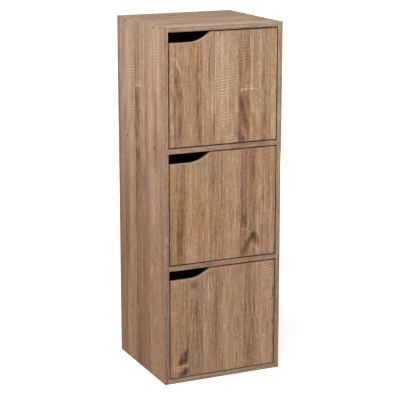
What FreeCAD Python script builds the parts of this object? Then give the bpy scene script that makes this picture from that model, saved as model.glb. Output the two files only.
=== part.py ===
import FreeCAD, Part
import math
import os
import re

import Sketcher

# A tall cabinet of three equal cubes, one above the other, each closed by a flush door.
# Boards of the carcass are screwed through the side panels, the back sits in a groove, and
# every door turns on two short pivot pins near its right edge and closes on a magnetic catch.
# Millimetres. +X is to the right, +Y to the back and +Z up. The origin is on the floor, in the
# middle of the cabinet's footprint.

DOORS = ("bottom", "middle", "top")
LEVELS = ("bottom_panel", "lower_shelf", "upper_shelf", "top_panel")

SIZES = {
    # Carcass
    "cabinet_width": 320,
    "cabinet_depth": 300,
    "cabinet_height": 900,
    "board_thickness": 12,
    "band_thickness": 0.8,
    "band_easing": 0.5,
    "easing_limit_share": 0.7,
    "cut_overrun": 1,
    "seat_clearance": 0.05,
    # Back, held in a groove
    "back_thickness": 3,
    "back_inset": 8,
    "groove_depth": 5,
    "groove_clearance": 0.1,
    "shelf_clearance": 0.3,
    # Doors and the hand cut-out at their top left corner
    "door_thickness": 12,
    "door_gap": 3,
    "swing_clearance": 1.5,
    "cutout_depth": 24,
    "cutout_flat": 54,
    "cutout_sweep_radius": 76,
    "cutout_nose_radius": 16,
    # Pivot pins and the bushes that they turn in
    "pin_radius": 2.5,
    "pin_embed": 18,
    "pin_chamfer": 0.4,
    "pin_end_clearance": 0.3,
    "collar_radius": 4.5,
    "pivot_end_play": 0.3,
    "running_clearance": 0.05,
    "bush_radius": 4,
    "bush_web": 2,
    "flange_radius": 6,
    # Screws through the side panels, and the dowel between each pair
    "side_screw_radius": 2,
    "side_screw_length": 40,
    "side_screw_tip": 4,
    "side_screw_head_radius": 3.6,
    "side_screw_head_height": 1.8,
    "side_screw_recess": 0.2,
    "side_screw_margin": 60,
    "socket_radius": 1.5,
    "socket_depth": 1.2,
    "dowel_radius": 3,
    "dowel_length": 24,
    "dowel_in_side": 7,
    "dowel_chamfer": 0.8,
    "hole_end_clearance": 0.5,
    # Magnetic catch on the left side panel, and the strike plate on the door
    "magnet_standoff": 8,
    "magnet_thickness": 4,
    "magnet_recess": 0.5,
    "pole_thickness": 1.6,
    "pole_length": 20,
    "pole_reach": 0.8,
    "catch_seat_depth": 10,
    "catch_depth": 16,
    "catch_wall": 1.4,
    "catch_end_wall": 3,
    "catch_ear_length": 10,
    "catch_ear_thickness": 3.5,
    "catch_rounding": 1,
    "catch_air_gap": 0.3,
    "strike_margin": 1,
    "strike_width": 12,
    "strike_length": 36,
    "strike_thickness": 1.2,
    "strike_corner_radius": 2,
    "strike_screw_margin": 6,
    # Small screws of the catch and of the strike plate
    "small_screw_radius": 1.5,
    "small_screw_tip": 2.5,
    "catch_screw_length": 12,
    "catch_screw_head_radius": 2.8,
    "catch_screw_crown_radius": 2,
    "catch_screw_head_height": 1.6,
    "strike_screw_length": 9,
    "strike_screw_head_radius": 2.5,
    "strike_screw_head_height": 1,
    "cross_length": 2.4,
    "cross_width": 0.6,
    "cross_depth": 0.8,
}

DERIVED = {
    "half_width": "cabinet_width / 2",
    "half_depth": "cabinet_depth / 2",
    "opening_width": "cabinet_width - 2 * board_thickness",
    "opening_height": f"(cabinet_height - {len(LEVELS)} * board_thickness) / {len(DOORS)}",
    "level_pitch": "opening_height + board_thickness",
    "front_of_boards": "band_thickness - half_depth",
    "back_rear": "half_depth - back_inset",
    "back_front": "back_rear - back_thickness",
    "easing": "min(band_easing; band_thickness * easing_limit_share)",
    "door_width": "opening_width - 2 * door_gap",
    "door_height": "opening_height - 2 * door_gap",
    "door_rear": "door_thickness - half_depth",
    "cutout_radii": "cutout_sweep_radius + cutout_nose_radius",
    "cutout_run": "sqrt(cutout_depth * (2 * cutout_radii - cutout_depth))",
    # The axis is set in from the door's edge just far enough for the corner to clear the side.
    "swing_gap": "door_gap - swing_clearance",
    "hinge_setback": "((door_thickness / 2) ^ 2 - swing_gap ^ 2) / (2 * swing_gap)",
    "hinge_x": "opening_width / 2 - door_gap - hinge_setback",
    "hinge_y": "door_thickness / 2 - half_depth",
    "collar_thickness": "(door_gap - pivot_end_play) / 2",
    "bush_depth": "(board_thickness - bush_web) / 2",
    "pin_length": "pin_embed + door_gap + bush_depth - pin_end_clearance",
    "side_screw_y": "half_depth - side_screw_margin",
    "side_screw_in_board": "side_screw_length + side_screw_recess - board_thickness",
    "dowel_in_board": "dowel_length - dowel_in_side",
    "magnet_stack": "magnet_thickness + 2 * pole_thickness",
    "catch_width": "magnet_standoff + magnet_stack / 2 + catch_wall",
    "catch_block_length": "pole_length + 2 * catch_end_wall",
    "catch_length": "catch_block_length + 2 * catch_ear_length",
    "catch_front": "door_rear + strike_thickness + catch_air_gap + pole_reach",
    "catch_x": "-opening_width / 2",
    "catch_screw_y": "catch_front + catch_depth / 2",
    "catch_screw_z": "catch_length / 2 - catch_ear_length / 2",
    "strike_x": "door_gap + strike_margin - opening_width / 2",
    "strike_screw_z": "strike_length / 2 - strike_screw_margin",
}

# A sketch's own numbers for a line's two ends and a circle's centre, and for its axes
START, END, CENTRE = range(1, 4)
V_AXIS, H_AXIS = range(-2, 0)
ORIGIN = (H_AXIS, START)
X, Y, Z = FreeCAD.Vector(1, 0, 0), FreeCAD.Vector(0, 1, 0), FreeCAD.Vector(0, 0, 1)
UP_ON_EDGE = FreeCAD.Rotation(X, 90)
# Turns that point a piece's own +Z along each direction
AIM = {
    "+x": FreeCAD.Rotation(Y, 90),
    "-x": FreeCAD.Rotation(Y, -90),
    "+y": FreeCAD.Rotation(X, -90),
    "-y": FreeCAD.Rotation(X, 90),
    "+z": FreeCAD.Rotation(),
    "-z": FreeCAD.Rotation(X, 180),
}

doc = FreeCAD.newDocument("cabinet")
sheet = doc.addObject("Spreadsheet::Sheet", "Sizes")
NAMES = {**SIZES, **DERIVED}
for row, (name, entry) in enumerate(NAMES.items(), 1):
    sheet.set(f"A{row}", name)
    sheet.set(f"B{row}", f"={entry}" if name in DERIVED else str(entry))
    sheet.setAlias(f"B{row}", name)
doc.recompute()
nodes = []


def cells(expression):
    """The expression with every size's name pointing at its cell in the sheet."""
    return re.sub(r"[a-z_]+", lambda word: f"Sizes.{word[0]}" if word[0] in NAMES else word[0], expression)


def value(expression):
    return float(sheet.evalExpression(cells(expression)))


def point(x, y):
    return FreeCAD.Vector(value(x), value(y))


def bind(thing, **settings):
    for setting, expression in settings.items():
        thing.setExpression(setting, cells(expression))
    return thing


def place(thing, x, y, z, turn=AIM["+z"]):
    thing.Placement = FreeCAD.Placement(FreeCAD.Vector(value(x), value(y), value(z)), turn)
    for axis, expression in zip("xyz", (x, y, z)):
        thing.setExpression(f".Placement.Base.{axis}", cells(expression))
    return thing


def node(thing):
    """Lists a finished piece. Its label names the piece."""
    nodes.append(thing)
    return thing


# Sketches


def sketch_on(body, role, offset="0"):
    plane = next(f for f in body.Origin.OriginFeatures if f.Role == role)
    sketch = body.newObject("Sketcher::SketchObject", "Sketch")
    sketch.AttachmentSupport = [(plane, "")]
    sketch.MapMode = "FlatFace"
    sketch.setExpression(".AttachmentOffset.Base.z", cells(offset))
    return sketch


def measure(sketch, expression, kind, *where):
    index = sketch.addConstraint(Sketcher.Constraint(kind, *where, value(expression)))
    sketch.renameConstraint(index, f"size{index}")
    sketch.setExpression(f"Constraints.size{index}", cells(expression))


def join(sketch, kind, *where):
    sketch.addConstraint(Sketcher.Constraint(kind, *where))


def hold(sketch, geometry, spot, x=None, y=None):
    """Holds a line's end or a circle's centre at its distances from the sketch's origin."""
    for kind, axis, expression in (("DistanceX", V_AXIS, x), ("DistanceY", H_AXIS, y)):
        if expression == "0":
            join(sketch, "PointOnObject", geometry, spot, axis)
        elif expression:
            measure(sketch, expression, kind, *ORIGIN, geometry, spot)


def polygon(sketch, corners):
    points = [point(x, y) for x, y in corners]
    first = sketch.GeometryCount
    for start, end in zip(points, points[1:] + points[:1]):
        sketch.addGeometry(Part.LineSegment(start, end), False)
    for step, (x, y) in enumerate(corners):
        following = first + (step + 1) % len(corners)
        join(sketch, "Coincident", first + step, END, following, START)
        hold(sketch, first + step, START, x, y)


def rectangle(sketch, left, low, right, high):
    polygon(sketch, [(left, low), (right, low), (right, high), (left, high)])


def circle(sketch, x, y, radius):
    index = sketch.addGeometry(Part.Circle(point(x, y), Z, value(radius)), False)
    measure(sketch, radius, "Radius", index)
    hold(sketch, index, CENTRE, x, y)


def door_outline(sketch, inset):
    """A door's outline, drawn inset from its edges. From the left edge of the cut-out a level
    stretch runs into a hollow sweep, and a rounded nose brings that up to the top edge."""
    turn = math.acos(1 - value("cutout_depth / cutout_radii"))
    low_left = point(inset, inset)
    low_right = point(f"door_width - {inset}", inset)
    high_right = point(f"door_width - {inset}", f"door_height - {inset}")
    flat_start = point(inset, f"door_height - cutout_depth - {inset}")
    flat_end = point("cutout_flat", f"door_height - cutout_depth - {inset}")
    nose_centre = point("cutout_flat + cutout_run", "door_height - cutout_nose_radius")
    sweep_centre = point("cutout_flat", "door_height - cutout_depth + cutout_sweep_radius")
    nose = Part.Circle(nose_centre, Z, value(f"cutout_nose_radius - {inset}"))
    sweep = Part.Circle(sweep_centre, Z, value(f"cutout_sweep_radius + {inset}"))
    nose_arc = Part.ArcOfCircle(nose, math.pi / 2, math.pi / 2 + turn)
    sweep_arc = Part.ArcOfCircle(sweep, 3 * math.pi / 2, 3 * math.pi / 2 + turn)
    sides = [
        Part.LineSegment(low_left, low_right),
        Part.LineSegment(low_right, high_right),
        Part.LineSegment(high_right, nose_arc.StartPoint),
        nose_arc,
        sweep_arc,
        Part.LineSegment(flat_end, flat_start),
        Part.LineSegment(flat_start, low_left),
    ]
    bottom, right, top, nose, sweep, flat, left = (sketch.addGeometry(side, False) for side in sides)
    for first, second in ((bottom, right), (right, top), (flat, left), (left, bottom)):
        join(sketch, "Coincident", first, END, second, START)
    for level in (bottom, top, flat):
        join(sketch, "Horizontal", level)
    for upright in (right, left):
        join(sketch, "Vertical", upright)
    join(sketch, "Tangent", top, END, nose, START)
    join(sketch, "Tangent", nose, END, sweep, END)
    join(sketch, "Tangent", sweep, START, flat, START)
    hold(sketch, bottom, START, inset, inset)
    hold(sketch, bottom, END, x=f"door_width - {inset}")
    hold(sketch, right, END, y=f"door_height - {inset}")
    hold(sketch, flat, START, "cutout_flat", f"door_height - cutout_depth - {inset}")
    measure(sketch, f"cutout_sweep_radius + {inset}", "Radius", sweep)
    measure(sketch, f"cutout_nose_radius - {inset}", "Radius", nose)


# Features


def new_body(label):
    return doc.addObject("PartDesign::Body", label)


def pad(body, sketch, length):
    feature = body.newObject("PartDesign::Pad", "Pad")
    feature.Profile = sketch
    return bind(feature, Length=length)


def pocket(body, sketch, depth=None, reverse=False):
    """Cuts against the sketch's normal, or along it if reversed, to a depth or right through."""
    before = body.Shape.Volume
    feature = body.newObject("PartDesign::Pocket", "Pocket")
    feature.Profile = sketch
    feature.Reversed = reverse
    if depth:
        bind(feature, Length=depth)
    else:
        feature.Type = "ThroughAll"
    doc.recompute()
    if not body.Shape.Volume < before:
        raise RuntimeError(f"a pocket of {body.Label} cuts nothing")


def ease(body, radius, wanted):
    """Rounds the edges of a body whose middle points pass a test."""
    doc.recompute()
    base = body.Tip
    names = []
    for index, edge in enumerate(base.Shape.Edges, 1):
        middle = edge.valueAt((edge.FirstParameter + edge.LastParameter) / 2)
        if wanted(middle, edge):
            names.append(f"Edge{index}")
    feature = body.newObject("PartDesign::Fillet", "Easing")
    feature.Base = (base, names)
    bind(feature, Radius=radius)
    doc.recompute()


def turned(label, profile):
    """A body turned about its own Z axis, from the corners of half its section."""
    body = new_body(label)
    sketch = sketch_on(body, "XZ_Plane")
    polygon(sketch, profile)
    feature = body.newObject("PartDesign::Revolution", "Turning")
    feature.Profile = sketch
    feature.ReferenceAxis = (sketch, ["V_Axis"])
    feature.Angle = 360
    doc.recompute()
    return body


# Blocks, rods, copies and cuts


def block(label, corner, extent):
    box = bind(doc.addObject("Part::Box", label), **dict(zip(("Length", "Width", "Height"), extent)))
    return place(box, *corner)


def rod(label, radius, height, corner, turn):
    cylinder = bind(doc.addObject("Part::Cylinder", label), Radius=radius, Height=height)
    return place(cylinder, *corner, turn)


def copy_of(master, x, y, z, turn):
    link = doc.addObject("App::Link", f"{master.Name}_copy")
    link.LinkedObject = master
    return place(link, x, y, z, turn)


def group(label, pieces):
    compound = doc.addObject("Part::Compound", label)
    compound.Links = pieces
    return compound


def cut(label, base, tools):
    result = doc.addObject("Part::Cut", label)
    result.Base = base
    result.Tool = group(f"{label}_tools", tools)
    return result


def board(label, corner, extent, tools):
    """A board sawn to size, then drilled and grooved."""
    return node(cut(label, block(f"{label}_blank", corner, extent), tools))


# Screws and dowels, each modelled once with its tip at its own origin and its head up +Z


def hexagon_socket(top):
    prism = bind(doc.addObject("Part::Prism", "socket"), Circumradius="socket_radius",
                 Height="socket_depth + cut_overrun")
    prism.Polygon = 6
    return [place(prism, "0", "0", f"{top} - socket_depth")]


def cross_recess(top):
    ways = (("cross_length", "cross_width"), ("cross_width", "cross_length"))
    low, depth = f"{top} - cross_depth", "cross_depth + cut_overrun"
    return [block("cross", (f"-{x} / 2", f"-{y} / 2", low), (x, y, depth)) for x, y in ways]


def screw(label, radius, tip, shank_end, head, recess):
    """A pointed shank with a turned head, whose corners follow, and the drive's recess in its top."""
    top = head[-1][1]
    profile = [("0", "0"), (radius, tip), (radius, shank_end), *head, ("0", top)]
    return cut(label, turned(f"{label}_blank", profile), recess(top))


side_screw = screw(
    "side_screw", "side_screw_radius", "side_screw_tip", "side_screw_length - side_screw_head_height",
    [("side_screw_head_radius", "side_screw_length")], hexagon_socket,
)
catch_screw = screw(
    "catch_screw", "small_screw_radius", "small_screw_tip", "catch_screw_length",
    [("catch_screw_head_radius", "catch_screw_length"),
     ("catch_screw_crown_radius", "catch_screw_length + catch_screw_head_height")], cross_recess,
)
strike_screw = screw(
    "strike_screw", "small_screw_radius", "small_screw_tip",
    "strike_screw_length - strike_screw_head_height",
    [("strike_screw_head_radius", "strike_screw_length")], cross_recess,
)
dowel = turned("dowel", [
    ("0", "0"),
    ("dowel_radius - dowel_chamfer", "0"),
    ("dowel_radius", "dowel_chamfer"),
    ("dowel_radius", "dowel_length - dowel_chamfer"),
    ("dowel_radius - dowel_chamfer", "dowel_length"),
    ("0", "dowel_length"),
])
DOWEL_HOLE = "dowel_radius + seat_clearance"
# The countersunk hole for a side screw, from just inside the panel to just outside it
SHANK_HOLE = "side_screw_radius + seat_clearance"
HEAD_HOLE = "side_screw_head_radius + seat_clearance"
HEAD_TOP = "cut_overrun + board_thickness - side_screw_recess"
HOLE_MOUTH = "board_thickness + 2 * cut_overrun"
side_screw_hole = turned("side_screw_hole", [
    ("0", "0"),
    (SHANK_HOLE, "0"),
    (SHANK_HOLE, f"{HEAD_TOP} - side_screw_head_height"),
    (HEAD_HOLE, HEAD_TOP),
    (HEAD_HOLE, HOLE_MOUTH),
    ("0", HOLE_MOUTH),
])

# Boards of the carcass, and the places of its joints

SIDES = {"left": (-1, "-x", "+x"), "right": (1, "+x", "-x")}
CATCH_PLACES = [(door, end) for door in range(len(DOORS)) for end in (-1, 1)]
joint_places = [(level, y) for level in range(len(LEVELS)) for y in ("-side_screw_y", "side_screw_y")]


def level_middle(level):
    return f"{level} * level_pitch + board_thickness / 2"


def floor_of(door):
    """Height of the board's top face under a compartment."""
    return f"{door} * level_pitch + board_thickness"


def middle_of(door):
    return f"{floor_of(door)} + opening_height / 2"


for side, (sign, outward, _) in SIDES.items():
    inside = f"{sign} * (opening_width / 2 - cut_overrun)"
    holes = [
        copy_of(side_screw_hole, inside, y, level_middle(level), AIM[outward]) for level, y in joint_places
    ]
    holes += [
        rod("dowel_hole", DOWEL_HOLE, "dowel_in_side + hole_end_clearance + cut_overrun",
            (inside, "0", level_middle(level)), AIM[outward])
        for level in range(len(LEVELS))
    ]
    groove_left = f"{sign} * (opening_width / 2 + groove_depth)" if sign < 0 else inside
    holes.append(block(
        f"{side}_groove",
        (groove_left, "back_front - groove_clearance", "board_thickness - groove_depth"),
        ("groove_depth + cut_overrun", "back_thickness + 2 * groove_clearance",
         "cabinet_height - 2 * (board_thickness - groove_depth)"),
    ))
    if side == "left":
        holes += [
            rod("catch_pilot", "small_screw_radius + seat_clearance",
                "catch_screw_length - catch_ear_thickness + hole_end_clearance + cut_overrun",
                ("catch_x + cut_overrun", "catch_screw_y", f"{middle_of(door)} + {end} * catch_screw_z"),
                AIM["-x"])
            for door, end in CATCH_PLACES
        ]
    board(
        f"{side}_side_panel",
        ("-half_width" if sign < 0 else "opening_width / 2", "front_of_boards", "0"),
        ("board_thickness", "cabinet_depth - band_thickness", "cabinet_height - band_thickness"),
        holes,
    )

for level, label in enumerate(LEVELS):
    low = f"{level} * level_pitch"
    high = f"{low} + board_thickness"
    is_floor, is_top = level == 0, level == len(LEVELS) - 1
    rear = "half_depth" if is_floor or is_top else "back_front - shelf_clearance"
    holes = []
    for sign, _, inward in SIDES.values():
        end = f"{sign} * (opening_width / 2 + cut_overrun)"
        holes += [
            rod("side_screw_pilot", SHANK_HOLE, "side_screw_in_board + hole_end_clearance + cut_overrun",
                (end, y, level_middle(level)), AIM[inward])
            for y in ("-side_screw_y", "side_screw_y")
        ]
        holes.append(rod(
            "dowel_hole", DOWEL_HOLE, "dowel_in_board + hole_end_clearance + cut_overrun",
            (end, "0", level_middle(level)), AIM[inward],
        ))
    if not is_top:
        holes.append(rod("bush_hole", "bush_radius + seat_clearance", "bush_depth + cut_overrun",
                         ("hinge_x", "hinge_y", f"{high} + cut_overrun"), AIM["-z"]))
    if not is_floor:
        holes.append(rod("bush_hole", "bush_radius + seat_clearance", "bush_depth + cut_overrun",
                         ("hinge_x", "hinge_y", f"{low} - cut_overrun"), AIM["+z"]))
    if is_floor or is_top:
        groove_low = f"{high} - groove_depth" if is_floor else f"{low} - cut_overrun"
        holes.append(block(
            f"{label}_groove",
            ("-half_width", "back_front - groove_clearance", groove_low),
            ("cabinet_width", "back_thickness + 2 * groove_clearance", "groove_depth + cut_overrun"),
        ))
    board(
        label,
        ("-opening_width / 2", "front_of_boards", low),
        ("opening_width", f"{rear} - front_of_boards", "board_thickness"),
        holes,
    )

GROOVE_REACH = "groove_depth - groove_clearance"
node(block(
    "back_panel",
    (f"-opening_width / 2 - ({GROOVE_REACH})", "back_front", f"board_thickness - ({GROOVE_REACH})"),
    (f"opening_width + 2 * ({GROOVE_REACH})", "back_thickness",
     f"cabinet_height - 2 * board_thickness + 2 * ({GROOVE_REACH})"),
))

# Edge bands of the carcass: thin strips glued to the edges that show, with eased corners


def band(label, wide, long, corner, turn):
    body = new_body(label)
    sketch = sketch_on(body, "XY_Plane")
    rectangle(sketch, "0", "0", wide, long)
    pad(body, sketch, "band_thickness")
    face = value("band_thickness")
    along = X if value(wide) > value(long) else Y

    def long_outer_edge(middle, edge):
        direction = edge.tangentAt(edge.FirstParameter)
        return math.isclose(middle.z, face) and math.isclose(abs(direction.dot(along)), 1)

    ease(body, "easing", long_outer_edge)
    return node(place(body, *corner, turn))


for side, (sign, *_) in SIDES.items():
    left_edge = "-half_width" if sign < 0 else "opening_width / 2"
    band(f"{side}_side_front_band", "board_thickness", "cabinet_height",
         (left_edge, "front_of_boards", "0"), UP_ON_EDGE)
    band(f"{side}_side_top_band", "board_thickness", "cabinet_depth - band_thickness",
         (left_edge, "front_of_boards", "cabinet_height - band_thickness"), AIM["+z"])
for level, label in enumerate(LEVELS):
    band(f"{label}_front_band", "opening_width", "board_thickness",
         ("-opening_width / 2", "front_of_boards", f"{level} * level_pitch"), UP_ON_EDGE)

# Fasteners of the carcass

for side, (sign, outward, _) in SIDES.items():
    tip = f"{sign} * (half_width - side_screw_recess - side_screw_length)"
    node(group(f"{side}_side_screws", [
        copy_of(side_screw, tip, y, level_middle(level), AIM[outward]) for level, y in joint_places
    ]))
node(group("shelf_dowels", [
    copy_of(dowel, f"{sign} * (opening_width / 2 - dowel_in_board)", "0", level_middle(level), AIM[outward])
    for sign, outward, _ in SIDES.values() for level in range(len(LEVELS))
]))
node(group("catch_screws", [
    copy_of(catch_screw, "catch_x + catch_ear_thickness - catch_screw_length", "catch_screw_y",
            f"{middle_of(door)} + {end} * catch_screw_z", AIM["+x"])
    for door, end in CATCH_PLACES
]))


# Doors, modelled lying on their back with the front face up, then stood up in their openings


def pin_hole(body, depth=None):
    """The pivot holes, in line near the right edge: one through cut, or a blind one at each end."""
    centre = ("door_width - hinge_setback", "door_thickness / 2", "pin_radius + seat_clearance")
    lower = sketch_on(body, "XZ_Plane")
    circle(lower, *centre)
    pocket(body, lower, depth)
    if depth:
        upper = sketch_on(body, "XZ_Plane", "-door_height")
        circle(upper, *centre)
        pocket(body, upper, depth, reverse=True)


def door_leaf(label):
    body = new_body(label)
    outline = sketch_on(body, "XY_Plane")
    door_outline(outline, "band_thickness")
    pad(body, outline, "door_thickness")
    doc.recompute()
    pin_hole(body, "pin_embed + hole_end_clearance")
    pilots = sketch_on(body, "XY_Plane")
    for end in (-1, 1):
        circle(pilots, "strike_margin + strike_width / 2", f"door_height / 2 + {end} * strike_screw_z",
               "small_screw_radius + seat_clearance")
    pocket(body, pilots, "strike_screw_length - strike_thickness + hole_end_clearance", reverse=True)
    return body


def door_band(label):
    """The band round a door's edge, also along the cut-out, with both its rims eased."""
    body = new_body(label)
    ring = sketch_on(body, "XY_Plane")
    door_outline(ring, "0")
    door_outline(ring, "band_thickness")
    pad(body, ring, "door_thickness")
    doc.recompute()
    rim = max(ring.Shape.Wires, key=lambda wire: wire.BoundBox.DiagonalLength)
    pin_hole(body)
    reach = value("band_thickness") / 2

    def on_rim(middle, edge):
        flat = Part.Vertex(middle.x, middle.y, 0).distToShape(rim)[0] < reach
        return flat and math.isclose(edge.BoundBox.ZLength, 0, abs_tol=reach)

    ease(body, "easing", on_rim)
    return body


def pivot_pin(label):
    """A steel pin, pressed into the door's edge up to its collar."""
    return turned(label, [
        ("0", "0"),
        ("pin_radius - pin_chamfer", "0"),
        ("pin_radius", "pin_chamfer"),
        ("pin_radius", "pin_embed"),
        ("collar_radius", "pin_embed"),
        ("collar_radius", "pin_embed + collar_thickness"),
        ("pin_radius", "pin_embed + collar_thickness"),
        ("pin_radius", "pin_length - pin_chamfer"),
        ("pin_radius - pin_chamfer", "pin_length"),
        ("0", "pin_length"),
    ])


def pivot_bush(label):
    """A flanged bush, pressed into a board, that the pin turns in."""
    return turned(label, [
        ("pin_radius + running_clearance", "0"),
        ("bush_radius", "0"),
        ("bush_radius", "bush_depth"),
        ("flange_radius", "bush_depth"),
        ("flange_radius", "bush_depth + collar_thickness"),
        ("pin_radius + running_clearance", "bush_depth + collar_thickness"),
    ])


def strike_plate(label):
    """A steel plate on the door's back, with two countersunk holes."""
    body = new_body(label)
    sketch = sketch_on(body, "XY_Plane")
    rectangle(sketch, "0", "0", "strike_width", "strike_length")
    pad(body, sketch, "strike_thickness")
    doc.recompute()
    for end in (-1, 1):
        centre = ("strike_width / 2", f"strike_length / 2 + {end} * strike_screw_z")
        hole = sketch_on(body, "XY_Plane")
        circle(hole, *centre, "small_screw_radius + seat_clearance")
        pocket(body, hole, reverse=True)
        mouth = sketch_on(body, "XY_Plane", "strike_thickness")
        circle(mouth, *centre, "strike_screw_head_radius + seat_clearance")
        pocket(body, mouth, "strike_screw_head_height")
        slope = "(strike_screw_head_radius - small_screw_radius) / strike_screw_head_height"
        bind(body.Tip, TaperAngle=f"-atan({slope})")
    half_width = value("strike_width") / 2
    half_thickness = value("strike_thickness") / 2

    def corner_edge(middle, edge):
        upright = edge.BoundBox.ZLength > half_thickness
        return upright and math.isclose(abs(middle.x - half_width), half_width)

    ease(body, "strike_corner_radius", corner_edge)
    return body


def catch_housing(label):
    """The plastic housing: a block for the magnet between two ears that are screwed to the side."""
    body = new_body(label)
    hat = sketch_on(body, "XY_Plane")
    block_start, block_end = "catch_ear_length", "catch_ear_length + catch_block_length"
    polygon(hat, [
        ("0", "0"), ("catch_length", "0"), ("catch_length", "catch_ear_thickness"),
        (block_end, "catch_ear_thickness"), (block_end, "catch_width"),
        (block_start, "catch_width"), (block_start, "catch_ear_thickness"), ("0", "catch_ear_thickness"),
    ])
    pad(body, hat, "catch_depth")
    doc.recompute()
    seat = sketch_on(body, "XY_Plane", "catch_depth")
    half_stack = "(magnet_stack / 2 + seat_clearance)"
    half_pole = "(pole_length / 2 + seat_clearance)"
    rectangle(seat, f"catch_length / 2 - {half_pole}", f"magnet_standoff - {half_stack}",
              f"catch_length / 2 + {half_pole}", f"magnet_standoff + {half_stack}")
    pocket(body, seat, "catch_seat_depth")
    ears = sketch_on(body, "XZ_Plane")
    for end in (-1, 1):
        circle(ears, f"catch_length / 2 + {end} * catch_screw_z", "catch_depth / 2",
               "small_screw_radius + seat_clearance")
    pocket(body, ears)
    crown = value("catch_width")
    ease(body, "catch_rounding", lambda middle, edge: math.isclose(middle.y, crown))
    return body


# The catch lies along Z on the side panel with its poles to the front, the strike faces the back
CATCH_TURN = FreeCAD.Rotation(-Z, X, -Y, "XYZ")
STRIKE_TURN = FreeCAD.Rotation(-X, Z, Y, "XYZ")
for door, name in enumerate(DOORS):
    low_board, high_board = floor_of(door), f"{floor_of(door)} + opening_height"
    low_edge, high_edge = f"{low_board} + door_gap", f"{high_board} - door_gap"
    corner = ("door_gap - opening_width / 2", "door_rear", low_edge)
    node(place(door_leaf(f"{name}_door"), *corner, UP_ON_EDGE))
    node(place(door_band(f"{name}_door_edge_band"), *corner, UP_ON_EDGE))
    axis = ("hinge_x", "hinge_y")
    node(place(pivot_pin(f"{name}_door_lower_pivot_pin"), *axis, f"{low_edge} + pin_embed", AIM["-z"]))
    node(place(pivot_pin(f"{name}_door_upper_pivot_pin"), *axis, f"{high_edge} - pin_embed", AIM["+z"]))
    node(place(pivot_bush(f"{name}_lower_pivot_bush"), *axis, f"{low_board} - bush_depth", AIM["+z"]))
    node(place(pivot_bush(f"{name}_upper_pivot_bush"), *axis, f"{high_board} + bush_depth", AIM["-z"]))
    node(place(strike_plate(f"{name}_door_strike_plate"), "strike_x + strike_width", "door_rear",
               f"{middle_of(door)} - strike_length / 2", STRIKE_TURN))
    node(group(f"{name}_door_strike_screws", [
        copy_of(strike_screw, "strike_x + strike_width / 2",
                "door_rear + strike_thickness - strike_screw_length",
                f"{middle_of(door)} + {end} * strike_screw_z", AIM["+y"])
        for end in (-1, 1)
    ]))
    node(place(catch_housing(f"{name}_catch_housing"), "catch_x", "catch_front + catch_depth",
               f"{middle_of(door)} + catch_length / 2", CATCH_TURN))
    pole_low = f"{middle_of(door)} - pole_length / 2"
    node(block(
        f"{name}_catch_magnet",
        ("catch_x + magnet_standoff - magnet_thickness / 2", "catch_front + magnet_recess", pole_low),
        ("magnet_thickness", "catch_seat_depth - magnet_recess", "pole_length"),
    ))
    poles = [
        block(f"{name}_pole_{side}",
              (f"catch_x + magnet_standoff + {offset}", "catch_front - pole_reach", pole_low),
              ("pole_thickness", "catch_seat_depth + pole_reach", "pole_length"))
        for side, offset in (("outer", "(-magnet_stack / 2)"), ("inner", "magnet_thickness / 2"))
    ]
    node(group(f"{name}_catch_pole_plates", poles))

# Checks before anything is written

doc.recompute()
failed = [thing.Label for thing in doc.Objects if {"Invalid", "Error"} & set(thing.State)]
failed += [thing.Label for thing in nodes if thing.Shape.isNull() or not thing.Shape.isValid()]
if failed:
    raise RuntimeError(f"these did not build: {failed}")
os.makedirs("parts", exist_ok=True)
for thing in nodes:
    thing.Shape.exportStep(f"parts/{thing.Label}.step")
print(len(nodes), "pieces; hinge axis at x", value("hinge_x"), "y", value("hinge_y"))
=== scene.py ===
import math

import bmesh
import bpy
from mathutils import Matrix, Vector


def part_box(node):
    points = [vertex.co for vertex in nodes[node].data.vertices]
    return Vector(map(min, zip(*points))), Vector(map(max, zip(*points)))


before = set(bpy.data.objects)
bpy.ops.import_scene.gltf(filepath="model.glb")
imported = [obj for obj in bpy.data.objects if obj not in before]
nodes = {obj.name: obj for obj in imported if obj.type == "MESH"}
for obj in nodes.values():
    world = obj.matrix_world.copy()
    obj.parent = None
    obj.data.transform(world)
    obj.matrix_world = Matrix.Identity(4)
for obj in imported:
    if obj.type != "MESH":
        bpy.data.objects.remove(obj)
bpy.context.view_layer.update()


# Side panels: two full-height particleboards, printed with sawn oak on both faces.
# The print comes off one roll, so a board is a cutting from the roll at its own place.
# Unbanded edges, at the rear and below, show the raw chips of the board.

def colour(red, green, blue):
    """A paint-chart colour, each part from 0 to 255, as linear light with full cover."""
    linear = []
    for part in (red, green, blue):
        share = part / 255
        linear.append(share / 12.92 if share <= 0.04045 else ((share + 0.055) / 1.055) ** 2.4)
    return (*linear, 1.0)


def feed(tree, socket, value):
    """Links a socket to a node's output, or sets it to a plain value."""
    if isinstance(value, bpy.types.NodeSocket):
        tree.links.new(value, socket)
    else:
        socket.default_value = value


def add_node(tree, kind, inputs=None, **settings):
    """A shader node with its settings, and its inputs linked or set by name or by number."""
    node = tree.nodes.new("ShaderNode" + kind)
    for name, setting in settings.items():
        setattr(node, name, setting)
    for name, value in (inputs or {}).items():
        feed(tree, node.inputs[name], value)
    return node


def calc(tree, operation, *terms):
    """One step of arithmetic on numbers that vary over the surface."""
    return add_node(tree, "Math", dict(enumerate(terms)), operation=operation).outputs[0]


def calc_point(tree, operation, *terms):
    """One step of arithmetic on points."""
    return add_node(tree, "VectorMath", dict(enumerate(terms)), operation=operation).outputs[0]


def add_layers(tree, start, *layers):
    """A number with layers added to it, each a pair of a varying number and its strength."""
    total = start
    for layer, strength in layers:
        total = calc(tree, "MULTIPLY_ADD", layer, strength, total)
    return total


def choose(tree, flag, yes, no):
    """The number yes where the flag is 1, and the number no where it is 0."""
    return calc(tree, "MULTIPLY_ADD", flag, calc(tree, "SUBTRACT", yes, no), no)


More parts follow.
